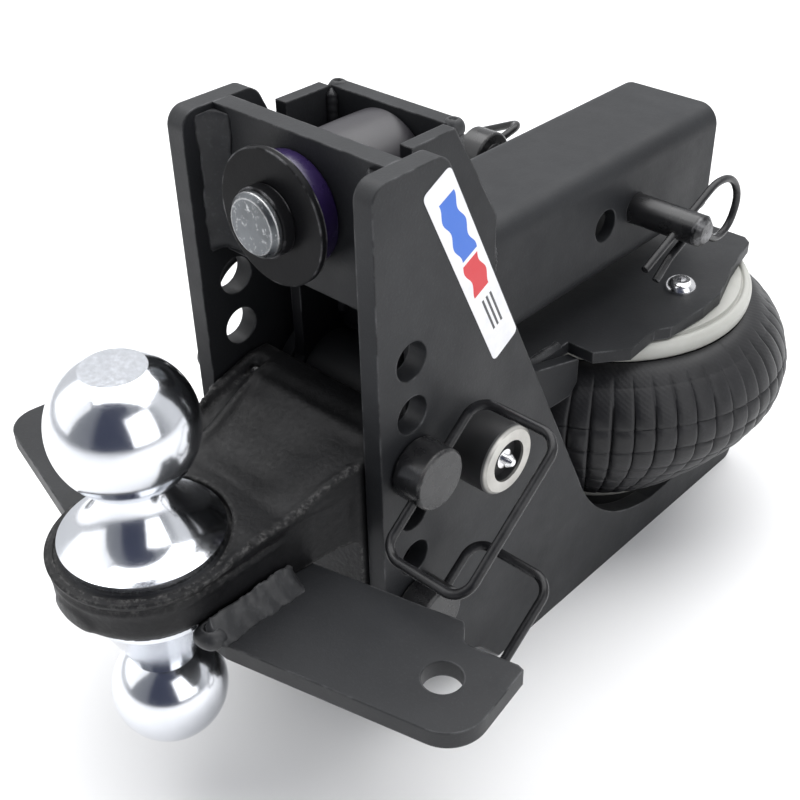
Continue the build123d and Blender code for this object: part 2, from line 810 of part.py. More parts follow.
def make_clip(face, side, y, z, tilt):
    """Spring clip: a straight leg through the pin, an open loop and a leg that hugs the pin."""
    along = Vector(0, cos(radians(tilt)), sin(radians(tilt)))
    below = Vector(0, sin(radians(tilt)), -cos(radians(tilt)))
    centre = Vector(face - side * CLIP_INSET, y, z)
    shape = Plane(origin=centre, x_dir=along, z_dir=along.cross(below))
    with BuildPart() as clip:
        with BuildLine(shape):
            FilletPolyline(
                (-33.0, 0.0),
                (30.0, 0.0),
                (46.0, 8.0),
                (48.0, 26.0),
                (36.0, 38.0),
                (24.0, 34.0),
                (6.0, 11.0),
                (-14.0, 10.8),
                (-27.0, 14.0),
                radius=[20.0, 20.0, 14.0, 13.0, 12.0, 8.0, 20.0],
            )
        with BuildSketch(Plane(origin=centre - along * 33.0, z_dir=along)):
            Circle(CLIP_WIRE_R)
        sweep()
    return clip.part


os.makedirs("parts", exist_ok=True)

keep(make_shank(), "shank_tube")
keep(make_back_plate(), "frame_back_plate")
for label, side in SIDES:
    keep(make_frame_side(side), f"frame_side_{label}")
    keep(make_pivot_arm(side), f"pivot_arm_{label}")
    keep(make_side_plate(side), f"side_plate_{label}")
keep(pivot_ring(HOUSING_R, BUSHING_OUTER_R, -FRAME_INNER, FRAME_INNER), "pivot_housing")
keep(make_bushings(), "pivot_bushings")
keep(make_mount_plate(), "airbag_mount_plate")
keep(make_upper_bead_plate(), "airbag_upper_bead_plate")
keep(make_button_screws(), "airbag_mount_screws")
keep(make_bellows(), "airbag_bellows")
keep(make_lower_bead_plate(), "airbag_lower_bead_plate")
keep(make_seat_plate(), "airbag_seat_plate")
keep(make_lower_bolts(), "airbag_seat_bolts")
keep(make_air_valve(), "airbag_valve")
keep(make_frame_welds(), "frame_welds")

keep(make_stop_rod(), "stop_rod")
keep(rod_ring(COLLAR_R, ROD_R, ROD_FRONT + 4.0, WASHER_FRONT, 0.5), "stop_collar")
keep(rod_ring(WASHER_R, ROD_R, WASHER_FRONT, WASHER_REAR), "stop_washer")
keep(rod_ring(FRONT_BUMPER_R, BUMPER_BORE_R, WASHER_REAR, WEB_FRONT, 2.0), "front_bumper")
keep(rod_ring(REAR_BUMPER_R, BUMPER_BORE_R, WEB_REAR, BACK_PLATE_FRONT, 2.0), "rear_bumper")

keep(make_web(), "channel_web")
keep(make_channel_welds(), "channel_welds")
keep(make_pivot_shaft(), "pivot_shaft")
keep(make_grease_fittings(), "grease_fittings")

keep(make_casting(), "mount_casting")
keep(make_upper_ball(), "upper_ball")
keep(make_lower_ball(), "lower_ball")
keep(make_sway_plate(), "sway_plate")
keep(make_mount_welds(), "mount_welds")

PINS = (
    ("upper", CHANNEL_PIN_FACE, 1, HOLE_Y, UPPER_PIN_Z, 38.0, 0.0, 100.0),
    ("lower", CHANNEL_PIN_FACE, 1, HOLE_Y, LOWER_PIN_Z, 36.0, 0.0, -80.0),
    ("hitch", HITCH_PIN_FACE, -1, 0.0, 0.0, 10.0, 25.0, 23.0),
)
for label, face, side, y, z, tilt, swing, clip_tilt in PINS:
    keep(make_pin(face, side, y, z, tilt, clip_tilt), f"{label}_pin")
    keep(make_handle(face, side, y, z, tilt, swing), f"{label}_pin_handle")
    keep(make_clip(face, side, y, z, clip_tilt), f"{label}_pin_clip")
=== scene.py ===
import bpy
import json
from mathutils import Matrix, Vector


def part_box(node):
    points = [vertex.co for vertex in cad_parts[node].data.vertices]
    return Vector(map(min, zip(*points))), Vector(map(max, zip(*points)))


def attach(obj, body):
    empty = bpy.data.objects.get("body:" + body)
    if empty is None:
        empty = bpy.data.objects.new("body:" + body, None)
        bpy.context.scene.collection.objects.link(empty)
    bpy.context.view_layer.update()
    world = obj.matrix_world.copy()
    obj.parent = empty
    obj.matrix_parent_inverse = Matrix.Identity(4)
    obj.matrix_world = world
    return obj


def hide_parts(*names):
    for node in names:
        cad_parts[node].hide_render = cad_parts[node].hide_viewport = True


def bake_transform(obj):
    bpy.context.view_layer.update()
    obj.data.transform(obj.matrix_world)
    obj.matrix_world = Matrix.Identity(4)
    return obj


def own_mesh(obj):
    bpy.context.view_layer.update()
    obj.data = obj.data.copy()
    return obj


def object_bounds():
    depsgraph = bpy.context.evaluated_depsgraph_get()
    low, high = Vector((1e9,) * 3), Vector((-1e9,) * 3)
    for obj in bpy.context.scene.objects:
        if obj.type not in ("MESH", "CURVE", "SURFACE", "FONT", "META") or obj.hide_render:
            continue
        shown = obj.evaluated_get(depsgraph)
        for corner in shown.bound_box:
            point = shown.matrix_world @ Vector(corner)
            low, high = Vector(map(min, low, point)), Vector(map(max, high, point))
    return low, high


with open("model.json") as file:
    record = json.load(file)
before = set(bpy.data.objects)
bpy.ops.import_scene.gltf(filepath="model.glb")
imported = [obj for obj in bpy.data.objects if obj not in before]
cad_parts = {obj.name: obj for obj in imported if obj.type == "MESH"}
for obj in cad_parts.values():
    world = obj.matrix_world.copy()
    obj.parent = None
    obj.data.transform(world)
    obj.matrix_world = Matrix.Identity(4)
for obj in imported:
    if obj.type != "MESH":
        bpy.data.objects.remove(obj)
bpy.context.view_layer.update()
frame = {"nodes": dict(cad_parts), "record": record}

import json
from math import cos, exp, pi, radians, sin

import bmesh
import bpy
from mathutils import Matrix, Vector

# A trailer hitch with two balls, an air bag and three lock pins.  The origin is the hitch-pin axis on the
# centreline of the shank, +Z is up and +Y points toward the vehicle.  Blender works in metres; the outlines
# and places below are in millimetres where their comment says so.

NODES = frame["nodes"]
SLOT_OF = {entry["node"]: entry["material_slot"] for entry in frame["record"]["subparts"]}

# Camera, fitted to the photograph's perspective
CAMERA_AT = Vector((0.3327, -0.4899, 0.2817))
AZIMUTH, ELEVATION, ROLL = radians(43.708), radians(35.213), radians(-1.339)
SENSOR_WIDTH = 36
FOCAL_LENGTH = 55.52

# Faces that the welds join, in millimetres; x values are for the right side
SIDE_PLATE_INNER = 47.6
WEB_FRONT_Y = -197.0
WEB_REAR_Y = -187.5
UPRIGHT_INNER = 31.7
CROSS_PLATE_FRONT_Y = -146.0
CROSS_PLATE_REAR_Y = -138.4
SHANK_TOP = 31.8
SEAT_BOTTOM = -184.9
CASTING_UNDERSIDE = -72.6

# Ball-mount casting, in millimetres
BALL_Y = -292.0
HEAD_R = 39.3
HEAD_TOP = -41.5
BODY_BOTTOM = -72.4
BODY_HEIGHT = 30.8
NECK_START_Y = -248.0
NECK_MIDDLE_Y = -228.0
NECK_END_Y = -213.5
BLOCK_HALF = 46.3
RIB_HALF = 8.8
VOXEL_SIZE = 0.00105  # in metres
PIN_Y = -194.5
LOCK_PIN_HEIGHTS = (-36.8, -114.2)
PIN_BORE_R = 8.05
PIN_BORE_HALF = 60.0
SEAT_R = 35.8
SEAT_MIDDLE_Z = -38.0
SEAT_HALF = 8.0

# Air bag, in metres from the frame; its outlines are (radius, height) in millimetres
BAG_LOW, BAG_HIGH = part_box("airbag_bellows")
BAG_Y = (BAG_LOW[1] + BAG_HIGH[1]) / 2
BAG_PROFILE = (
    (80.0, -66.5),
    (84.0, -67.8),
    (88.5, -71.0),
    (97.0, -79.0),
    (103.5, -90.0),
    (106.0, -102.0),
    (104.5, -114.0),
    (99.0, -125.0),
    (91.0, -136.0),
    (82.0, -147.0),
    (73.0, -157.0),
    (64.0, -166.0),
    (54.0, -172.0),
)
HOOP_HEIGHTS = (-74.0, -93.0, -107.0, -120.5, -135.0, -150.0)
RIBS = 57
ROW_STEP = 0.0030
GROOVE_HALF = 0.0011

# Upper bead plate, (radius, height) in millimetres: a flat top, a pressed step and a rolled rim
PLATE_TOP, PLATE_BOTTOM = -54.9, -66.5
PLATE_RIM = (
    (62.5, PLATE_TOP),
    (64.5, -55.3),
    (73.9, -55.6),
    (74.8, -56.1),
    (75.4, -57.4),
    (76.0, -57.2),
    (76.7, -56.2),
    (78.5, -56.3),
    (80.1, -57.6),
    (80.9, -59.6),
    (80.8, -62.4),
    (80.2, -64.8),
    (79.0, PLATE_BOTTOM),
)
CENTRE_HOLE_R = 0.5

# Stop bumpers, in millimetres; keep is the share of the length left when the pivot is at its longer limit
ROD_Z = 65.0
WASHER_REAR_Y = -209.0
BUMPER_BORE_R = 13.8
BUMPER_CORNER = 1.6
BUMPER_BULGE = 0.35
BUMPER_GAP = 0.05
BUMPERS = (
    {
        "name": "front_ring",
        "node": "front_bumper",
        "material": "purple_urethane",
        "front": WASHER_REAR_Y,
        "rear": WEB_FRONT_Y,
        "outer": 23.6,
        "fixed": WASHER_REAR_Y,
        "keep": 0.39,
    },
    {
        "name": "rear_ring",
        "node": "rear_bumper",
        "material": "grey_urethane",
        "front": WEB_REAR_Y,
        "rear": CROSS_PLATE_FRONT_Y,
        "outer": 24.4,
        "fixed": CROSS_PLATE_FRONT_Y,
        "keep": 0.80,
    },
)

# Decal on the right side plate, in metres: corners as (y, z)
DECAL_CORNERS = [
    Vector((-0.1876, 0.0825)),
    Vector((-0.1721, 0.0905)),
    Vector((-0.1276, -0.0018)),
    Vector((-0.1429, -0.0103)),
]
DECAL_X = 0.0572
DECAL_THICK = 0.00015
DECAL_CORNER_R = 0.003
# Its printed bars: where each starts and ends along the decal, and how far each reaches across it
BLUE_BAR, RED_BAR, RULES = (0.010, 0.043), (0.045, 0.064), (0.069, 0.088)
BAR_ACROSS, RULES_ACROSS = (-0.0042, 0.0052), (-0.0035, 0.0045)

# Axis of the pivot shaft, and where the bare or rubbed ends of shaft, rod and pins begin, in metres
PIVOT_Y, PIVOT_Z = -0.154, -0.0485
PIVOT_FACE_X = (0.0745, 0.0752)
ROD_END_Y = (-0.2188, -0.2182)
HITCH_PIN_FROM_Y = -0.1
HITCH_TIP_X = 0.0685
LOCK_TIP_X = -0.0722

# Studio
FLOOR_HALF = 6
BAY_AZIMUTH = AZIMUTH
# How far a wall faces the bay, from 0 behind the hitch to 1 in the bay, and its colour there
WALLS = (
    (0.50, (0.80, 0.81, 0.83, 1)),
    (0.70, (0.30, 0.31, 0.33, 1)),
    (0.90, (0.22, 0.23, 0.26, 1)),
    (0.945, (0.060, 0.068, 0.105, 1)),
)


# ---------------------------------------------------------------- short helpers
def mm(*values):
    return Vector(values) / 1000


def ease(value, low, high):
    t = min(1.0, max(0.0, (value - low) / (high - low)))
    return t * t * (3 - 2 * t)


def wobble(i, salt=0.0):
    """Repeatable value from -1 to 1."""
    return 2 * ((sin(i * 12.9898 + salt * 78.233) * 43758.5453) % 1.0) - 1


def hump(value, width):
    """Smooth bump that is 1 at 0 and close to 0 beyond twice the width."""
    return exp(-((value / width) ** 2))


def add_object(name, mesh):
    obj = bpy.data.objects.new(name, mesh)
    bpy.context.scene.collection.objects.link(obj)
    return obj


def smooth(mesh, angle):
    """Smooth shading that keeps edges sharper than the angle."""
    mesh.polygons.foreach_set("use_smooth", [True] * len(mesh.polygons))
    mesh.set_sharp_from_angle(angle=angle)


def to_mesh(name, bm):
    """Turns a finished bmesh into a mesh with its faces pointing outward."""
    bmesh.ops.recalc_face_normals(bm, faces=bm.faces)
    mesh = bpy.data.meshes.new(name)
    bm.to_mesh(mesh)
    bm.free()
    return mesh


def closed_piece(name, bm, angle):
    """Turns a finished bmesh into a smooth-shaded object."""
    mesh = to_mesh(name, bm)
    smooth(mesh, angle)
    return add_object(name, mesh)


def catmull(points, per):
    """Points along a smooth curve through the given ones."""
    line = [points[0], *points, points[-1]]
    out = []
    for a, b, c, d in zip(line, line[1:], line[2:], line[3:]):
        for k in range(per):
            t = k / per
            point = []
            for p, q, r, s in zip(a, b, c, d):
                square, cube = 2 * p - 5 * q + 4 * r - s, 3 * q - p - 3 * r + s
                point.append(0.5 * (2 * q + (r - p) * t + square * t * t + cube * t**3))
            out.append(tuple(point))
    out.append(points[-1])
    return out


def lathe(name, profile, centre, axis="Z", steps=96):
    """Surface turned about an axis through centre; profile is (radius, height) from end to end."""
    bm = bmesh.new()
    rings = []
    for k in range(steps):
        turn = 2 * pi * k / steps
        ring = []
        for radius, height in profile:
            a, b = radius * cos(turn), radius * sin(turn)
            local = {"Z": (a, b, height), "X": (height, a, b), "Y": (a, height, b)}[axis]
            ring.append(bm.verts.new(Vector(centre) + Vector(local)))
        rings.append(ring)
    for k in range(steps):
        one, two = rings[k], rings[(k + 1) % steps]
        for i in range(len(profile) - 1):
            bm.faces.new((one[i], two[i], two[i + 1], one[i + 1]))
    bmesh.ops.remove_doubles(bm, verts=bm.verts, dist=1e-6)
    return to_mesh(name, bm)


def prism(bm, outline, place, depth):
    """Closed prism: outline is a loop of points, place maps one to 3-D, depth is the other end."""
    low = [bm.verts.new(place(p)) for p in outline]
    high = [bm.verts.new(place(p) + depth) for p in outline]
    bm.faces.new(low)
    bm.faces.new(high[::-1])
    for i in range(len(outline)):
        j = (i + 1) % len(outline)
        bm.faces.new((low[i], high[i], high[j], low[j]))


# ---------------------------------------------------------------- material helper
class Nodes:
    """Short way to write a node tree: each call adds a node and returns its first output."""

    def __init__(self, name):
        self.material = bpy.data.materials.new(name)
        self.material.use_nodes = True
        self.tree = self.material.node_tree
        self.shader = self.tree.nodes["Principled BSDF"]
        self.coords = self.tree.nodes.new("ShaderNodeTexCoord").outputs["Object"]

    def link(self, value, socket):
        if isinstance(value, bpy.types.NodeSocket):
            self.tree.links.new(value, socket)
        else:
            socket.default_value = value

    def add(self, kind, inputs, output=0, **settings):
        node = self.tree.nodes.new(kind)
        for key, value in settings.items():
            setattr(node, key, value)
        for key, value in inputs.items():
            self.link(value, node.inputs[key])
        return node.outputs[output]

    def noise(self, scale, detail=4.0, rough=0.55, vector=None):
        return self.add(
            "ShaderNodeTexNoise",
            {"Vector": vector or self.coords, "Scale": scale, "Detail": detail, "Roughness": rough},
        )

    def cells(self, scale):
        return self.add("ShaderNodeTexVoronoi", {"Vector": self.coords, "Scale": scale})

    def math(self, operation, a, b=0.0, clamp=False):
        return self.add("ShaderNodeMath", {0: a, 1: b}, operation=operation, use_clamp=clamp)

    def ramp(self, value, low, high, out_low=0.0, out_high=1.0):
        return self.add(
            "ShaderNodeMapRange",
            {"Value": value, "From Min": low, "From Max": high, "To Min": out_low, "To Max": out_high},
        )

    def mix(self, factor, a, b):
        node = self.tree.nodes.new("ShaderNodeMix")
        node.data_type = "RGBA"
        self.link(factor, node.inputs[0])
        self.link(a, node.inputs[6])
        self.link(b, node.inputs[7])
        return node.outputs[2]

    def dot(self, vector, other):
        return self.add("ShaderNodeVectorMath", {0: vector, 1: other}, "Value", operation="DOT_PRODUCT")

    def axis(self, index):
        """Coordinate 0, 1 or 2 of the point being shaded."""
        return self.add("ShaderNodeSeparateXYZ", {0: self.coords}, index)

    def bump(self, height, strength, distance, normal=None):
        inputs = {"Height": height, "Strength": strength, "Distance": distance}
        if normal is not None:
            inputs["Normal"] = normal
        return self.add("ShaderNodeBump", inputs)

    def edge(self, radius):
        """Mask that is about 1 near an edge and 0 on flat faces, and the bevelled normal behind it."""
        bevel = self.tree.nodes.new("ShaderNodeBevel")
        bevel.inputs["Radius"].default_value = radius
        bevel.samples = 4
        true = self.tree.nodes.new("ShaderNodeNewGeometry").outputs["Normal"]
        return self.ramp(self.dot(bevel.outputs[0], true), 1.0, 0.93), bevel.outputs[0]

    def finish(self, **sockets):
        """Sets the shader's sockets, named as in Blender but with underscores, and returns the material."""
        for key, value in sockets.items():
            name = key.replace("_", " ").title().replace("Ior", "IOR")
            self.link(value, self.shader.inputs[name])
        return self.material


# ---------------------------------------------------------------- materials
def worn_coat(name, colour, lighter, rough=0.46, grain=900.0, wear=0.35, grain_depth=0.00012, shine=0.29):
    """Powder coat: fine orange-peel texture, faint mottling and rubbed edges."""
    n = Nodes(name)
    edge, rounded = n.edge(0.0012)
    cloud = n.noise(14.0, 5.0)
    speck = n.noise(grain, 3.0, 0.6)
    rub = n.math("MULTIPLY", edge, n.ramp(n.noise(85.0, 6.0), 0.46, 0.62, 0.0, wear))
    base = n.mix(n.ramp(cloud, 0.3, 0.7), (*colour, 1), (*lighter, 1))
    dusty = n.mix(n.ramp(speck, 0.55, 0.8, 0.0, 0.35), base, (*[c * 2.2 for c in lighter], 1))
    colour_out = n.mix(rub, dusty, (0.30, 0.30, 0.31, 1))
    roughness = n.ramp(n.noise(32.0, 6.0, 0.65), 0.3, 0.7, rough - 0.06, rough + 0.10)
    peel = n.bump(speck, 0.35, grain_depth, rounded)
    wave = n.bump(n.noise(70.0, 3.0), 0.25, 0.0004, peel)
    return n.finish(base_color=colour_out, roughness=roughness, normal=wave, specular_ior_level=shine)


def cast_skin():
    """Sand-rough cast surface under glossy black paint."""
    n = Nodes("cast_black")
    edge, rounded = n.edge(0.0030)
    pits = n.noise(420.0, 5.0, 0.65)
    lumps = n.noise(48.0, 4.0, 0.6)
    grains = n.cells(210.0)
    rub = n.math("MULTIPLY", edge, n.ramp(n.noise(420.0, 5.0, 0.7), 0.46, 0.62, 0.0, 0.5))
    base = n.mix(n.ramp(lumps, 0.3, 0.7), (0.003, 0.003, 0.0035, 1), (0.008, 0.008, 0.009, 1))
    colour = n.mix(rub, base, (0.20, 0.195, 0.19, 1))
    first = n.bump(lumps, 0.3, 0.0008, rounded)
    second = n.bump(grains, 0.15, 0.0002, first)
    third = n.bump(pits, 0.55, 0.0004, second)
    roughness = n.ramp(pits, 0.3, 0.7, 0.36, 0.56)
    return n.finish(base_color=colour, roughness=roughness, normal=third, specular_ior_level=0.24)


def metal(name, colour, rough, brush, brush_scale=(1, 1, 1), darker=0.8, dents=0.0):
    """Bare or plated metal with fine turning lines, light handling marks and faint tarnish."""
    n = Nodes(name)
    stretched = n.add("ShaderNodeVectorMath", {0: n.coords, 1: brush_scale}, operation="MULTIPLY")
    lines = n.noise(brush, 4.0, 0.6, stretched)
    stain = n.noise(26.0, 6.0, 0.65)
    dark = tuple(c * darker for c in colour)
    base = n.mix(n.ramp(stain, 0.42, 0.72), (*colour, 1), (*dark, 1))
    turned = n.ramp(lines, 0.3, 0.7, rough * 0.7, rough * 1.35)
    roughness = n.math("ADD", turned, n.ramp(stain, 0.5, 0.8, 0, 0.06))
    normal = n.bump(lines, 0.15, 0.00004)
    if dents:
        normal = n.bump(n.noise(38.0, 3.0), dents, 0.0005, normal)
    return n.finish(base_color=base, roughness=roughness, metallic=1.0, normal=normal)


def rubber(name, colour, lighter, rough):
    """Soft urethane with a fine grain, a cloudy tone and a little dust."""
    n = Nodes(name)
    speck = n.noise(700.0, 4.0, 0.6)
    cloud = n.noise(24.0, 5.0)
    base = n.mix(n.ramp(cloud, 0.3, 0.75), (*colour, 1), (*lighter, 1))
    dust = n.mix(n.ramp(speck, 0.6, 0.85, 0.0, 0.3), base, (*[min(1, c * 2.5) for c in lighter], 1))
    roughness = n.ramp(cloud, 0.3, 0.7, rough - 0.08, rough + 0.08)
    return n.finish(base_color=dust, roughness=roughness, normal=n.bump(speck, 0.4, 0.00015))


def pale_paint():
    """Off-white plastic-smooth paint, a little yellowed and scuffed."""
    n = Nodes("pale_paint")
    edge, rounded = n.edge(0.0010)
    cloud = n.noise(22.0, 5.0)
    scuff = n.math("MULTIPLY", edge, n.ramp(n.noise(95.0, 6.0), 0.48, 0.62, 0.0, 0.5))
    base = n.mix(n.ramp(cloud, 0.3, 0.7), (0.44, 0.44, 0.41, 1), (0.35, 0.35, 0.32, 1))
    colour = n.mix(scuff, base, (0.40, 0.39, 0.35, 1))
    return n.finish(
        base_color=colour,
        roughness=n.ramp(n.noise(60.0, 4.0), 0.3, 0.7, 0.38, 0.52),
        normal=n.bump(n.noise(300.0, 3.0), 0.2, 0.0001, rounded),
    )


def bag_rubber():
    """Black rubber with fabric cord showing through and chalky bloom."""
    n = Nodes("bag_rubber")
    moved = n.add("ShaderNodeVectorMath", {0: n.coords, 1: (0, BAG_Y, 0)}, operation="SUBTRACT")
    x, y, z = (n.add("ShaderNodeSeparateXYZ", {0: moved}, index) for index in range(3))
    turn = n.math("ARCTAN2", y, x)
    slant = n.math("ADD", n.math("MULTIPLY", turn, 180.0), n.math("MULTIPLY", z, 2600.0))
    cords = n.math("SINE", slant)
    speck = n.noise(650.0, 4.0)
    bloom = n.noise(34.0, 6.0, 0.65)
    base = n.mix(n.ramp(bloom, 0.42, 0.75), (0.007, 0.007, 0.008, 1), (0.015, 0.015, 0.017, 1))
    dust = n.math("MULTIPLY", n.ramp(speck, 0.52, 0.8), n.ramp(bloom, 0.4, 0.6))
    colour = n.mix(n.math("MULTIPLY", dust, 0.3), base, (0.05, 0.05, 0.055, 1))
    first = n.bump(cords, 0.08, 0.0002)
    second = n.bump(speck, 0.4, 0.0002, first)
    roughness = n.ramp(bloom, 0.3, 0.7, 0.36, 0.54)
    return n.finish(base_color=colour, roughness=roughness, normal=second, specular_ior_level=0.36)


def pivot_paint():
    """Black boss with a bare turned face at each end."""
    n = Nodes("pivot_paint")
    far = n.math("ABSOLUTE", n.axis(0))
    bare = n.ramp(far, *PIVOT_FACE_X)
    dy = n.math("SUBTRACT", n.axis(1), PIVOT_Y)
    dz = n.math("SUBTRACT", n.axis(2), PIVOT_Z)
    radius = n.math("SQRT", n.math("ADD", n.math("MULTIPLY", dy, dy), n.math("MULTIPLY", dz, dz)))
    turning = n.math("SINE", n.math("MULTIPLY", radius, 14000.0))
    stain = n.noise(60.0, 5.0)
    steel = n.mix(n.ramp(stain, 0.35, 0.75), (0.52, 0.51, 0.48, 1), (0.36, 0.35, 0.33, 1))
    colour = n.mix(bare, (0.022, 0.022, 0.023, 1), steel)
    normal = n.bump(n.math("MULTIPLY", turning, bare), 0.12, 0.00005)
    rough = n.ramp(stain, 0.3, 0.7, 0.30, 0.42)
    metallic = n.math("MULTIPLY", bare, 0.9)
    return n.finish(base_color=colour, roughness=rough, metallic=metallic, normal=normal)


def rod_paint():
    """Black rod whose front end is dark steel with bright flecks and a bright rim."""
    n = Nodes("rod_paint")
    bare = n.ramp(n.axis(1), *ROD_END_Y, 1.0, 0.0)
    stain = n.noise(45.0, 6.0, 0.65)
    fleck = n.ramp(n.noise(420.0, 5.0, 0.7), 0.56, 0.72)
    steel = n.mix(n.ramp(stain, 0.35, 0.72), (0.15, 0.16, 0.17, 1), (0.085, 0.09, 0.095, 1))
    steel = n.mix(fleck, steel, (0.55, 0.56, 0.57, 1))
    edge, rounded = n.edge(0.0010)
    steel = n.mix(n.math("MULTIPLY", edge, 0.8), steel, (0.75, 0.75, 0.75, 1))
    colour = n.mix(bare, (0.020, 0.020, 0.021, 1), steel)
    scratch = n.noise(900.0, 4.0)
    return n.finish(
        base_color=colour,
        roughness=n.ramp(n.noise(120.0, 5.0), 0.3, 0.7, 0.26, 0.44),
        metallic=n.math("MULTIPLY", bare, 0.85),
        normal=n.bump(scratch, 0.2, 0.00006, rounded),
    )


def pin_paint():
    """Glossy black pin, rubbed to grey at the chamfered tip."""
    n = Nodes("pin_paint")
    x = n.axis(0)
    hitch = n.math("GREATER_THAN", n.axis(1), HITCH_PIN_FROM_Y)
    lock = n.math("SUBTRACT", 1.0, hitch)
    tip_right = n.math("MULTIPLY", n.math("GREATER_THAN", x, HITCH_TIP_X), hitch)
    tip_left = n.math("MULTIPLY", n.math("LESS_THAN", x, LOCK_TIP_X), lock)
    bare = n.math("ADD", tip_right, tip_left, clamp=True)
    edge, rounded = n.edge(0.0012)
    stain = n.noise(110.0, 6.0, 0.65)
    rub = n.math("MULTIPLY", edge, n.ramp(stain, 0.46, 0.60, 0.0, 0.5))
    black = n.mix(n.ramp(stain, 0.35, 0.7), (0.008, 0.008, 0.009, 1), (0.018, 0.018, 0.019, 1))
    worn = n.mix(rub, black, (0.22, 0.21, 0.20, 1))
    colour = n.mix(n.math("MULTIPLY", bare, n.ramp(stain, 0.42, 0.62)), worn, (0.16, 0.16, 0.165, 1))
    return n.finish(
        base_color=colour,
        roughness=n.ramp(n.noise(70.0, 5.0), 0.3, 0.7, 0.20, 0.36),
        metallic=n.math("MULTIPLY", bare, 0.3),
        normal=n.bump(n.noise(500.0, 3.0), 0.2, 0.00008, rounded),
    )


def decal_paint():
    """White film with a wavy blue bar, a wavy red bar and thin dark rules along its length."""
    n = Nodes("decal_film")
    start = (DECAL_CORNERS[0] + DECAL_CORNERS[1]) / 2
    end = (DECAL_CORNERS[2] + DECAL_CORNERS[3]) / 2
    along = (end - start).normalized()
    across = Vector((-along.y, along.x))
    u = n.math("SUBTRACT", n.dot(n.coords, (0, along.x, along.y)), start.dot(along))
    v = n.math("SUBTRACT", n.dot(n.coords, (0, across.x, across.y)), start.dot(across))

    def band(value, low, high):
        above = n.math("GREATER_THAN", value, low)
        below = n.math("LESS_THAN", value, high)
        return n.math("MULTIPLY", above, below)

    wave = n.math("MULTIPLY", n.math("SINE", n.math("MULTIPLY", u, 420.0)), 0.0009)
    centre = n.math("ADD", v, wave)
    blue = n.math("MULTIPLY", band(u, *BLUE_BAR), band(centre, *BAR_ACROSS))
    red = n.math("MULTIPLY", band(u, *RED_BAR), band(centre, *BAR_ACROSS))
    rule = n.math("MULTIPLY", band(u, *RULES), band(v, *RULES_ACROSS))
    stripes = n.math("GREATER_THAN", n.math("SINE", n.math("MULTIPLY", v, 2400.0)), 0.1)
    rule = n.math("MULTIPLY", rule, stripes)
    fleck = n.ramp(n.noise(160.0, 5.0), 0.35, 0.7)
    base = n.mix(fleck, (0.84, 0.84, 0.86, 1), (0.76, 0.76, 0.79, 1))
    base = n.mix(blue, base, (0.03, 0.14, 0.58, 1))
    base = n.mix(red, base, (0.60, 0.022, 0.032, 1))
    base = n.mix(rule, base, (0.05, 0.05, 0.055, 1))
    return n.finish(base_color=base, roughness=n.ramp(fleck, 0, 1, 0.3, 0.42))


MATERIALS = {
    "powder_coat": worn_coat(
        "powder_coat", (0.011, 0.0115, 0.013), (0.018, 0.019, 0.021), grain_depth=0.0002
    ),
    "frame_coat": worn_coat(
        "frame_coat", (0.009, 0.0095, 0.011), (0.015, 0.016, 0.018), rough=0.5, grain_depth=0.0002
    ),
    "dark_steel": worn_coat(
        "dark_steel", (0.005, 0.005, 0.0055), (0.009, 0.009, 0.010), rough=0.34, wear=0.8, shine=0.06
    ),
    "pin_black": worn_coat(
        "pin_black", (0.008, 0.008, 0.009), (0.014, 0.014, 0.015), 0.18, 700.0, wear=0.3, grain_depth=0.00004
    ),
    "clip_steel": worn_coat(
        "clip_steel", (0.010, 0.010, 0.011), (0.018, 0.018, 0.019), 0.2, 700.0, wear=0.4, grain_depth=0.00004
    ),
    "weld": worn_coat(
        "weld", (0.018, 0.0185, 0.020), (0.034, 0.035, 0.037), 0.36, 500.0, wear=0.3, grain_depth=0.0003
    ),
    "cast_black": cast_skin(),
    "ball_chrome": metal("ball_chrome", (0.74, 0.76, 0.80), 0.15, 500.0, (1, 1, 9), darker=0.9, dents=0.02),
    "zinc": metal("zinc", (0.78, 0.78, 0.79), 0.20, 900.0),
    "valve_brass": metal("valve_brass", (0.75, 0.58, 0.28), 0.28, 700.0),
    "bushing_bronze": metal("bushing_bronze", (0.56, 0.42, 0.24), 0.35, 700.0),
    "purple_urethane": rubber("purple_urethane", (0.014, 0.007, 0.042), (0.024, 0.013, 0.062), 0.24),
    "grey_urethane": rubber("grey_urethane", (0.014, 0.013, 0.016), (0.028, 0.026, 0.031), 0.4),
    "pale_paint": pale_paint(),
    "bag_rubber": bag_rubber(),
    "pivot_paint": pivot_paint(),
    "rod_paint": rod_paint(),
    "pin_paint": pin_paint(),
    "decal_film": decal_paint(),
}

# Nodes whose look differs from the material slot in the record
OWN_PAINT = {
    "shank_tube": "frame_coat",
    "frame_back_plate": "frame_coat",
    "frame_side_left": "frame_coat",
    "frame_side_right": "frame_coat",
    "pivot_arm_left": "frame_coat",
    "pivot_arm_right": "frame_coat",
    "pivot_housing": "frame_coat",
    "airbag_mount_plate": "frame_coat",
    "pivot_shaft": "pivot_paint",
    "stop_rod": "rod_paint",
    "upper_pin": "pin_paint",
    "lower_pin": "pin_paint",
    "hitch_pin": "pin_paint",
}


def paint_nodes():
    """Gives each CAD node its material."""
    for name, obj in NODES.items():
        obj.data.materials.clear()
        obj.data.materials.append(MATERIALS[OWN_PAINT.get(name, SLOT_OF[name])])


def finish_piece(obj, body, material, slot, *nodes):
    """Paints a piece, lets it ride on a body and hides the CAD nodes that it stands in for."""
    obj.data.materials.append(MATERIALS[material])
    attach(obj, body)
    if nodes:
        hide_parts(*nodes)


# ---------------------------------------------------------------- welds
def point_along(path, distance):
    """Point at a distance along a path of vectors, and the direction there."""
    for a, b in zip(path, path[1:]):
        if distance <= (b - a).length + 1e-9:
            break
        distance -= (b - a).length
    along = (b - a).normalized()
    return a + along * distance, along


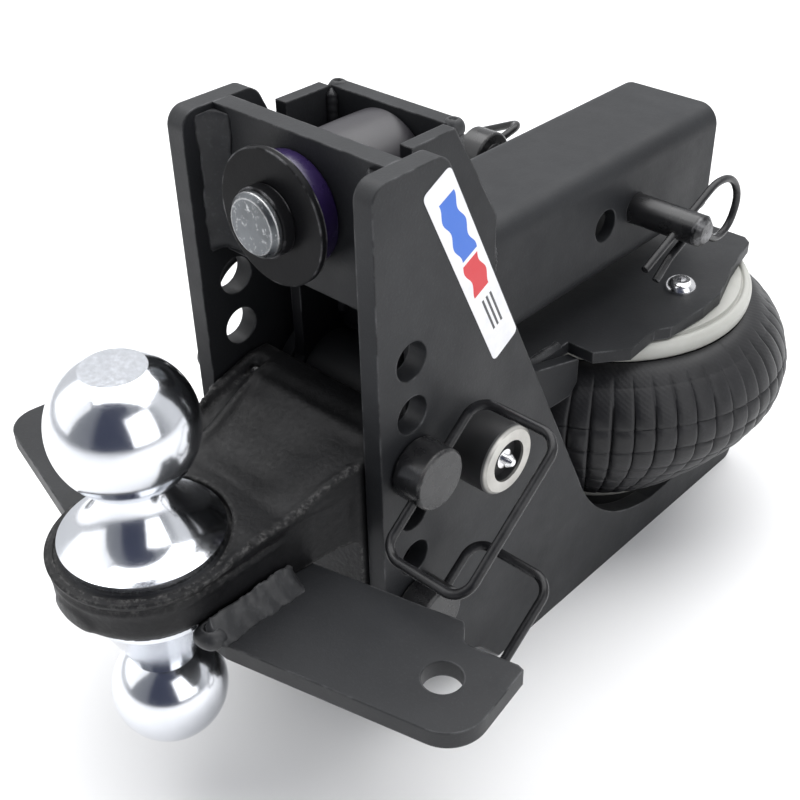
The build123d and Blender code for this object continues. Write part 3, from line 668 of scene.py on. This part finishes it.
def weld_bead(name, path, size, toe_a, toe_b, salt=0.0, coin=0.16, pitch=0.42, flat=0.0, taper=0.35):
    """Weld along a path in the corner between two faces, which lie along toe_a and toe_b.

    coin and pitch are the height and length of its ripples, flat turns the rounded section into a slanting
    face, hollow above 1, and taper is the size of its ends."""
    bm = bmesh.new()
    total = sum((b - a).length for a, b in zip(path, path[1:]))
    ripples = max(3, int(total / (size * pitch)))
    count = ripples * 6
    rings = []
    arc = 9
    for i in range(count + 1):
        t = i / count
        here, along = point_along(path, t * total)
        phase = (t * ripples) % 1.0
        bead = 1.0 + coin * (1 - (2 * phase - 1) ** 2 + 0.4 * wobble(int(t * ripples), salt))
        bead += 0.05 * sin(9 * t + salt) + 0.03 * sin(31 * t + 2 * salt)
        ends = min(1.0, taper + min(t, 1 - t) * total / (size * 0.8))
        swell = size * bead * ends
        ring = []
        for k in range(arc):
            u = k / (arc - 1) * pi / 2
            bulge = 0.82 + 0.16 * sin(2 * u)
            chord = k / (arc - 1)
            part_a = cos(u) * bulge * (1 - flat) + (1 - chord) * flat
            part_b = sin(u) * bulge * (1 - flat) + chord * flat
            rough = 1 + (0.04 if 0 < flat < 1 else 0.012) * wobble(i * 31 + k * 7, salt)
            offset = (toe_a * part_a + toe_b * part_b) * swell * rough
            lean = along * (-0.18 * size * sin(2 * u))
            ring.append(bm.verts.new(here + offset + lean))
        ring.append(bm.verts.new(here - (toe_a + toe_b) * 0.0006))
        rings.append(ring)
    for one, two in zip(rings, rings[1:]):
        for k in range(len(one)):
            j = (k + 1) % len(one)
            bm.faces.new((one[k], one[j], two[j], two[k]))
    bm.faces.new(rings[0][::-1])
    bm.faces.new(rings[-1])
    return closed_piece(name, bm, radians(50))


def weld_blob(name, centre, radii, crater=0.35, salt=0.0):
    """Rounded end of a weld, with a small crater on top where the arc stopped."""
    bm = bmesh.new()
    bmesh.ops.create_uvsphere(bm, u_segments=32, v_segments=20, radius=1.0)
    for i, vert in enumerate(bm.verts):
        spread = (vert.co.x**2 + vert.co.y**2) ** 0.5
        dip = crater * (1 - ease(spread, 0.12, 0.5)) if vert.co.z > 0 else 0.0
        lump = 1 + 0.05 * sin(3 * vert.co.x + salt) * cos(4 * vert.co.y + salt) + 0.008 * wobble(i, salt)
        place = vert.co * lump
        place.z -= dip
        vert.co = Vector([place[k] * radii[k] for k in range(3)]) + centre
    return closed_piece(name, bm, radians(60))


def make_welds():
    """Every bead that the plates are joined with; left and right differ a little."""
    x, y, z = Vector((1, 0, 0)), Vector((0, 1, 0)), Vector((0, 0, 1))
    mount, channel, inner = [], [], []
    for side, tag in ((-1, "left"), (1, "right")):
        plate = side * SIDE_PLATE_INNER
        upright = side * UPRIGHT_INNER
        out = x * side

        toe, heel = mm(side * 39.6, -296, CASTING_UNDERSIDE), mm(side * 40.0, -250, CASTING_UNDERSIDE)
        slanted = {"coin": 0.02, "pitch": 0.8, "flat": 0.85, "taper": 0.7}
        mount.append(weld_bead(f"mount_bead_{tag}", [toe, heel], 0.0094, out, z, side, **slanted))
        knob = toe + mm(side, 1.5, 1.6)
        mount.append(weld_blob(f"mount_blob_{tag}", knob, mm(7.2, 7.0, 5.2), 0.55, side))

        seam = [mm(plate, WEB_REAR_Y, 93), mm(plate, WEB_REAR_Y, 32)]
        channel.append(weld_bead(f"web_bead_{tag}", seam, 0.0042, -out, y, side * 2))
        seam = [mm(plate, WEB_FRONT_Y, 92.5), mm(plate, WEB_FRONT_Y, 31)]
        hollow = {"coin": 0.015, "pitch": 1.1, "flat": 1.15, "taper": 0.9}
        channel.append(weld_bead(f"web_front_bead_{tag}", seam, 0.0095, -out, -y, side * 5, **hollow))
        seam = [mm(plate, -24, SEAT_BOTTOM), mm(plate, 79, SEAT_BOTTOM)]
        channel.append(weld_bead(f"seat_bead_{tag}", seam, 0.0045, -out, -z, side * 3))

        seam = [mm(upright, CROSS_PLATE_REAR_Y, 88), mm(upright, CROSS_PLATE_REAR_Y, 34)]
        inner.append(weld_bead(f"frame_bead_{tag}", seam, 0.0050, -out, y, side * 4))
        seam = [mm(upright, CROSS_PLATE_FRONT_Y, 90), mm(upright, CROSS_PLATE_FRONT_Y, -20)]
        inner.append(weld_bead(f"frame_inner_bead_{tag}", seam, 0.0038, -out, -y, side * 6, 0.06, 0.9))
        knob = mm(side * 32.2, -141.5, 88.4)
        inner.append(weld_blob(f"frame_blob_{tag}", knob, mm(4.6, 5.0, 4.6), 0.6, side * 11))
        seam = [mm(side * 31.8, -119.4, 27), mm(side * 31.8, -119.4, -20)]
        inner.append(weld_bead(f"shank_bead_{tag}", seam, 0.0046, out, y, side * 7))
        seam = [mm(side * 37.9, -118, -48.5), mm(side * 37.9, -66, -48.5)]
        inner.append(weld_bead(f"arm_bead_{tag}", seam, 0.0034, -out, z, side * 8))
    seam = [mm(-22, CROSS_PLATE_REAR_Y, SHANK_TOP), mm(22, CROSS_PLATE_REAR_Y, SHANK_TOP)]
    inner.append(weld_bead("cross_bead", seam, 0.0050, y, z, 9))
    for beads, body, node in (
        (mount, "channel", "mount_welds"),
        (channel, "channel", "channel_welds"),
        (inner, "frame", "frame_welds"),
    ):
        for bead in beads:
            finish_piece(bead, body, "weld", "powder_coat")
        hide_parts(node)


# ---------------------------------------------------------------- air bag and its upper plate
def along_outline(outline, lengths, distance):
    """Point at a distance along a polyline of (radius, height)."""
    for i in range(1, len(outline)):
        if distance <= lengths[i]:
            break
    t = (distance - lengths[i - 1]) / (lengths[i] - lengths[i - 1])
    t = min(1.0, max(0.0, t))
    return tuple(a + (b - a) * t for a, b in zip(outline[i - 1], outline[i]))


def bag_rows(length, hoops):
    """Distances down the bag where it gets a row of vertices: even steps, and five rows across each hoop."""
    rows = {k * ROW_STEP for k in range(int(length / ROW_STEP) + 1)}
    rows = {d for d in rows if all(abs(d - hoop) > 0.0017 for hoop in hoops)} | {length}
    rows |= {hoop + step for hoop in hoops for step in (-0.0012, -0.0005, 0.0, 0.0005, 0.0012)}
    return sorted(rows)


def bag_point(outline, lengths, hoops, distance, rib, phase, cut_in):
    """Point on the bag's skin: phase runs from 0 to 1 across a rib, cut_in is 1 in the groove beside it."""
    turn = 2 * pi * (rib + phase + 0.06 * wobble(rib, 3)) / RIBS
    shoulder = ease(distance, 0.008, 0.016) * 0.45 + ease(distance, 0.022, 0.036) * 0.55
    fade = shoulder * (1 - ease(distance, lengths[-1] - 0.018, lengths[-1] - 0.004))
    drift = 0.0009 * sin(turn * 3 + 1.1) * shoulder
    near = min(hoops, key=lambda hoop: abs(hoop - distance))
    row = hoops.index(near)
    depth = 0.0009 * (0.45 + 0.55 * abs(wobble(rib, row * 7))) * (0.3 if row == 0 else 1.0)
    hoop = -depth * max(0.0, 1 - abs(distance - near) / GROOVE_HALF)
    shingle = 0.0006 * (phase - 0.5)
    plump = 0.0004 * sin(pi * phase) + 0.0005 * min(1.0, abs(distance - near) / 0.006)
    slump = 0.0005 * sin(2 * turn + 0.6) * sin(pi * min(1.0, distance / 0.16))
    radius, height = along_outline(outline, lengths, distance + drift)
    radius += (hoop + shingle + plump - 0.0013 * cut_in) * fade + slump - 0.0014 * shoulder
    return radius * cos(turn), BAG_Y + radius * sin(turn), height


def make_bag():
    """Bellows with its moulded grid: flat cells that overlap like shingles, between thin grooves."""
    outline = [(r / 1000, z / 1000) for r, z in catmull(BAG_PROFILE, 12)]
    lengths = [0.0]
    for a, b in zip(outline, outline[1:]):
        lengths.append(lengths[-1] + ((a[0] - b[0]) ** 2 + (a[1] - b[1]) ** 2) ** 0.5)
    hoops = [next(d for d, p in zip(lengths, outline) if p[1] <= height / 1000) for height in HOOP_HEIGHTS]
    rows = bag_rows(lengths[-1], hoops)
    # Phase across a rib, and share of the groove's depth there
    stations = (
        (0.0, 1.0),
        (0.045, 0.55),
        (0.11, 0.06),
        (0.30, 0.0),
        (0.55, 0.0),
        (0.80, 0.0),
        (0.93, 0.10),
        (0.97, 0.5),
    )
    bm = bmesh.new()
    rings = []
    for rib in range(RIBS):
        for phase, cut_in in stations:
            ring = [bag_point(outline, lengths, hoops, distance, rib, phase, cut_in) for distance in rows]
            rings.append([bm.verts.new(point) for point in ring])
    for k, one in enumerate(rings):
        two = rings[(k + 1) % len(rings)]
        for i in range(len(rows) - 1):
            bm.faces.new((one[i], two[i], two[i + 1], one[i + 1]))
    bag = closed_piece("air_bag", bm, radians(70))
    bag.data.materials.append(MATERIALS["bag_rubber"])
    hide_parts("airbag_bellows")
    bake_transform(bag)


def make_bead_plate():
    """Upper plate with a pressed step and a rolled rim."""
    ends = (CENTRE_HOLE_R, PLATE_TOP), (CENTRE_HOLE_R, PLATE_BOTTOM)
    profile = [ends[0], *catmull(PLATE_RIM, 3), ends[1]]
    profile = [(r / 1000, z / 1000) for r, z in profile]
    mesh = lathe("bead_plate", profile, (0, BAG_Y, 0), steps=160)
    smooth(mesh, radians(40))
    plate = add_object("bead_plate", mesh)
    finish_piece(plate, "frame", "pale_paint", "pale_paint", "airbag_upper_bead_plate")


# ---------------------------------------------------------------- bumpers and decal
def bumper_profile(front, rear, outer, count=24):
    """Closed (radius, y) outline of a ring with rounded corners and a slight bulge."""
    length = rear - front
    start = front + BUMPER_GAP
    profile = [(BUMPER_BORE_R, start)]
    for i in range(count + 1):
        t = i / count
        end = min(t, 1 - t) * length
        corner = BUMPER_CORNER - (BUMPER_CORNER**2 - (BUMPER_CORNER - min(end, BUMPER_CORNER)) ** 2) ** 0.5
        profile.append((outer - corner + BUMPER_BULGE * sin(pi * t), start + t * (length - 2 * BUMPER_GAP)))
    profile.append((BUMPER_BORE_R, rear - BUMPER_GAP))
    profile.append((BUMPER_BORE_R, start))
    return [(r / 1000, y / 1000) for r, y in profile]


def make_bumpers():
    """Urethane rings around the stop rod, drawn at full length and riding on the frame."""
    for bumper in BUMPERS:
        profile = bumper_profile(bumper["front"], bumper["rear"], bumper["outer"])
        mesh = lathe(bumper["name"], profile, (0, 0, ROD_Z / 1000), "Y", 128)
        smooth(mesh, radians(40))
        ring = add_object(bumper["name"], mesh)
        finish_piece(ring, "frame", bumper["material"], bumper["material"], bumper["node"])
        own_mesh(ring)


def make_decal():
    """Rounded sticker on the right side plate."""
    outline = []
    for i, corner in enumerate(DECAL_CORNERS):
        before = (DECAL_CORNERS[i - 1] - corner).normalized()
        after = (DECAL_CORNERS[(i + 1) % 4] - corner).normalized()
        for k in range(7):
            t = k / 6
            outline.append(corner + before * DECAL_CORNER_R * (1 - t) ** 2 + after * DECAL_CORNER_R * t**2)
    bm = bmesh.new()
    face = bm.faces.new([bm.verts.new((DECAL_X, p.x, p.y)) for p in outline])
    if face.normal.x < 0:
        face.normal_flip()
    made = bmesh.ops.extrude_face_region(bm, geom=[face])
    for item in made["geom"]:
        if isinstance(item, bmesh.types.BMVert):
            item.co.x += DECAL_THICK
    decal = add_object("decal", to_mesh("decal", bm))
    finish_piece(decal, "channel", "decal_film", "pale_paint")


# ---------------------------------------------------------------- casting
def bake(obj):
    graph = bpy.context.evaluated_depsgraph_get()
    mesh = bpy.data.meshes.new_from_object(obj.evaluated_get(graph))
    obj.modifiers.clear()
    old = obj.data
    obj.data = mesh
    bpy.data.meshes.remove(old)


def cut(obj, cutter_mesh):
    """Takes a closed mesh out of obj and applies the result."""
    cutter = add_object("cutter", cutter_mesh)
    modifier = obj.modifiers.new("cut", "BOOLEAN")
    modifier.operation = "DIFFERENCE"
    modifier.object = cutter
    modifier.solver = "EXACT"
    bake(obj)
    bpy.data.objects.remove(cutter)


def rod_mesh(centre, axis, radius, half, steps):
    """Closed cylinder about centre; all lengths in millimetres."""
    radius, half = radius / 1000, half / 1000
    return lathe("rod", [(0, -half), (radius, -half), (radius, half), (0, half)], mm(*centre), axis, steps)


def neck_half(y):
    """Half width of the casting's neck at a station along it."""
    stations = ((BALL_Y, 39.4), (NECK_START_Y, 39.9), (NECK_MIDDLE_Y, 42.3), (NECK_END_Y, 45.9))
    for (y0, half0), (y1, half1) in zip(stations, stations[1:]):
        if y <= y1:
            return half0 + (half1 - half0) * max(0.0, (y - y0) / (y1 - y0))
    return stations[-1][1]


def top_relief(x, y):
    """Height added on top of the neck: a dip in the middle, a rib on the left and a ridge at the plates."""
    dip = (1 - ease(abs(x), 12, 34)) * ease(y, -252, -236) * (1 - ease(y, -222, -206))
    rib_x = -26 - 5 * ease(y, -240, -199)
    reach = ease(y, -250, -238) * (1 - ease(y, -197, -190))
    beside_rib = ease(rib_x - 1 - x, 0, 4) * (1 - ease(-x, 40, 42)) * ease(y, -244, -230)
    height = -2.6 * dip
    height += 1.9 * hump(x - rib_x, 2.4) * reach
    height -= 4.2 * beside_rib * reach
    height += 1.2 * hump(y + 203, 3.2) * (1 - ease(abs(x), 34, 42))
    return height


def side_relief(x, y, z, out):
    """Parting groove and draft on the sides, and a raised foundry pad at the front."""
    fade = 1 - ease(y, -262, -246)
    move = -out * (2.0 * hump(z + 50.0, 1.5) + 1.3 * ease(-z, 51, 54)) * fade
    move -= out * 0.9 * ease(-z, 43, 48) * (1 - fade)
    pad = (x / 13) ** 2 + ((z + 61.5) / 6.5) ** 2
    if y < -320 and pad < 1.3:
        move += Vector((0, -1, 0)) * (1 - ease(pad, 0.75, 1.2))
    return move


def casting_relief(x, y, z, normal):
    """How the surface of the ball-mount casting differs from plain blocks, in millimetres."""
    move = Vector((0, 0, 0))
    from_ball = Vector((x, y - BALL_Y, 0))
    if normal.z > 0.5 and y > -256:
        move.z += top_relief(x, y)
    if 35 < from_ball.length < 44 and z > -47.5:
        rim = HEAD_TOP - 4.6 * ease(-y, 262, 292)
        move.z -= max(0.0, z - rim)
    if abs(normal.z) < 0.6 and y < -219:
        out = Vector((normal.x, normal.y, 0))
        out = out.normalized() if out.length > 0.01 else out
        move += side_relief(x, y, z, out)
    if y < -262 and z < -58 and from_ball.length > 30:
        move -= from_ball.normalized() * 7.0 * ease(-z, 60, 73) ** 2
    return move


def casting_flash(x, y, z, normal):
    """Thin ragged line of metal along the neck's top edges, where the mould halves met."""
    if not -300 < y < -216:
        return Vector((0, 0, 0))
    top = HEAD_TOP + 10.5 * ease(y, -252, -214)
    near = hump(neck_half(y) - abs(x) - 1.0, 2.0) * hump(top - 1.2 - z, 2.2)
    return (normal + Vector((0, 0, 0.4))) * near * (0.75 + 0.45 * wobble(int(y * 1.1), 2))


def displace(obj, rule):
    """Moves each vertex by rule(x, y, z, normal), all in millimetres."""
    normals = [v.normal.copy() for v in obj.data.vertices]
    for vertex, normal in zip(obj.data.vertices, normals):
        vertex.co += rule(*(vertex.co * 1000), normal) / 1000


def mirrored(points):
    """Outline on the right followed by its mirror image on the left, in one loop."""
    return [*points, *((-x, *rest) for x, *rest in reversed(points))]


def ramp_block(bm):
    """Wedge on top of the neck that rises toward the plates."""
    edge = mirrored([(39.6, -250, -41.7), (42.2, NECK_MIDDLE_Y, -35.0), (46.0, NECK_END_Y, -30.4)])
    top = [bm.verts.new(mm(*point)) for point in edge]
    low = [bm.verts.new(mm(x, y, -60)) for x, y, _ in edge]
    bm.faces.new((top[0], top[1], top[4], top[5]))
    bm.faces.new((top[1], top[2], top[3], top[4]))
    bm.faces.new(low[::-1])
    for i in range(6):
        j = (i + 1) % 6
        bm.faces.new((top[i], low[i], low[j], top[j]))


def casting_blocks():
    """Rough blocks of the casting, which overlap: head, neck, ramp, the block in the channel and a rib."""

    def level(point):
        return mm(*point, BODY_BOTTOM)

    def upright(x):
        return lambda point: mm(x, *point)

    bm = bmesh.new()
    turns = [2 * pi * k / 128 for k in range(128)]
    head = [(HEAD_R * cos(turn), BALL_Y + HEAD_R * sin(turn)) for turn in turns]
    prism(bm, head, level, mm(0, 0, BODY_HEIGHT))
    neck = [(39.3, BALL_Y), (39.8, NECK_START_Y), (42.0, NECK_MIDDLE_Y), (45.8, NECK_END_Y)]
    prism(bm, mirrored(neck), level, mm(0, 0, BODY_HEIGHT))
    ramp_block(bm)
    rear, top, bottom = -182.2, -24.7, -127.8
    block = [(-216.3, -31.2), (-193, top), (rear, top), (rear, bottom), (-208, bottom), (-216.3, -122)]
    prism(bm, block, upright(-BLOCK_HALF), mm(2 * BLOCK_HALF, 0, 0))
    rib = [(-239, -71), (-214, -71), (-214, -114)]
    prism(bm, rib, upright(-RIB_HALF), mm(2 * RIB_HALF, 0, 0))
    return to_mesh("casting", bm)


def smoothing(obj, factor, iterations):
    """Smooths a mesh for good, together with any modifier that it already has."""
    modifier = obj.modifiers.new("smooth", "SMOOTH")
    modifier.factor = factor
    modifier.iterations = iterations
    bake(obj)


def make_casting():
    """Casting with blended corners: rough blocks joined, rounded by remeshing, then carved."""
    casting = add_object("casting", casting_blocks())
    remesh = casting.modifiers.new("remesh", "REMESH")
    remesh.mode = "VOXEL"
    remesh.voxel_size = VOXEL_SIZE
    smoothing(casting, 0.6, 7)
    displace(casting, casting_relief)
    smoothing(casting, 0.5, 3)
    displace(casting, casting_flash)
    cut(casting, rod_mesh((0, BALL_Y, SEAT_MIDDLE_Z), "Z", SEAT_R, SEAT_HALF, 96))
    for height in LOCK_PIN_HEIGHTS:
        cut(casting, rod_mesh((0, PIN_Y, height), "X", PIN_BORE_R, PIN_BORE_HALF, 48))
    smooth(casting.data, radians(38))
    finish_piece(casting, "channel", "cast_black", "cast_black", "mount_casting")


# ---------------------------------------------------------------- studio
def make_camera():
    """Camera on the photograph's line of sight, turned by its roll."""
    back = Vector((sin(AZIMUTH) * cos(ELEVATION), -cos(AZIMUTH) * cos(ELEVATION), sin(ELEVATION)))
    right = Vector((cos(AZIMUTH), sin(AZIMUTH), 0))
    up = back.cross(right)
    turned_right = cos(ROLL) * right + sin(ROLL) * up
    turned_up = -sin(ROLL) * right + cos(ROLL) * up
    data = bpy.data.cameras.new("camera")
    data.sensor_width = SENSOR_WIDTH
    data.lens = FOCAL_LENGTH
    data.clip_start = 0.02
    camera = bpy.data.objects.new("camera", data)
    bpy.context.scene.collection.objects.link(camera)
    axes = Matrix((turned_right, turned_up, back)).transposed()
    camera.matrix_world = Matrix.Translation(CAMERA_AT) @ axes.to_4x4()
    bpy.context.scene.camera = camera


def area_light(name, place, target, size, power):
    """Soft box at a place, turned toward the target."""
    data = bpy.data.lights.new(name, "AREA")
    data.shape = "RECTANGLE"
    data.size, data.size_y = size
    data.energy = power
    lamp = bpy.data.objects.new(name, data)
    bpy.context.scene.collection.objects.link(lamp)
    look = Vector(target) - Vector(place)
    lamp.matrix_world = Matrix.Translation(place) @ look.to_track_quat("-Z", "Y").to_matrix().to_4x4()


def make_floor():
    """Plain pale floor at the lowest point of the hitch."""
    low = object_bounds()[0][2]
    mesh = bpy.data.meshes.new("floor")
    corners = [(x * FLOOR_HALF, y * FLOOR_HALF, low) for x, y in ((-1, -1), (1, -1), (1, 1), (-1, 1))]
    mesh.from_pydata(corners, [], [(0, 1, 2, 3)])
    n = Nodes("floor_paint")
    tone = n.mix(n.noise(3.0), (0.83, 0.83, 0.83, 1), (0.87, 0.87, 0.87, 1))
    mesh.materials.append(n.finish(base_color=tone, roughness=0.85))
    add_object("floor", mesh)


def make_world():
    """Studio walls: bright behind the hitch, dimmer beside it, dark in one bay where the camera stands."""
    world = bpy.data.worlds.new("world")
    world.use_nodes = True
    tree = world.node_tree
    direction = tree.nodes.new("ShaderNodeTexCoord").outputs["Generated"]
    level = tree.nodes.new("ShaderNodeVectorMath")
    level.operation = "MULTIPLY"
    tree.links.new(direction, level.inputs[0])
    level.inputs[1].default_value = (1, 1, 0)
    unit = tree.nodes.new("ShaderNodeVectorMath")
    unit.operation = "NORMALIZE"
    tree.links.new(level.outputs[0], unit.inputs[0])
    toward = tree.nodes.new("ShaderNodeVectorMath")
    toward.operation = "DOT_PRODUCT"
    tree.links.new(unit.outputs[0], toward.inputs[0])
    toward.inputs[1].default_value = (sin(BAY_AZIMUTH), -cos(BAY_AZIMUTH), 0)
    facing = tree.nodes.new("ShaderNodeMapRange")
    tree.links.new(toward.outputs["Value"], facing.inputs["Value"])
    facing.inputs["From Min"].default_value = -1.0
    walls = tree.nodes.new("ShaderNodeValToRGB")
    tree.links.new(facing.outputs[0], walls.inputs[0])
    stops = walls.color_ramp.elements
    for stop, (position, colour) in zip((stops[0], stops[1]), (WALLS[0], WALLS[-1])):
        stop.position = position
        stop.color = colour
    for position, colour in WALLS[1:-1]:
        stops.new(position).color = colour
    tree.links.new(walls.outputs[0], tree.nodes["Background"].inputs["Color"])
    bpy.context.scene.world = world


make_camera()
paint_nodes()
make_welds()
make_casting()
make_bag()
make_bead_plate()
make_bumpers()
make_decal()
make_floor()
make_world()
bpy.context.scene.view_settings.view_transform = "Standard"
area_light("overhead", (-0.2, 0.5, 2.0), (0, 0.3, 0), (3.4, 3.0), 100)
area_light("left_box", (-1.0, -1.1, 0.75), (0, -0.25, -0.05), (1.5, 1.5), 6.5)
area_light("right_box", (1.65, -0.35, 0.7), (0, -0.25, -0.05), (1.3, 1.5), 12)
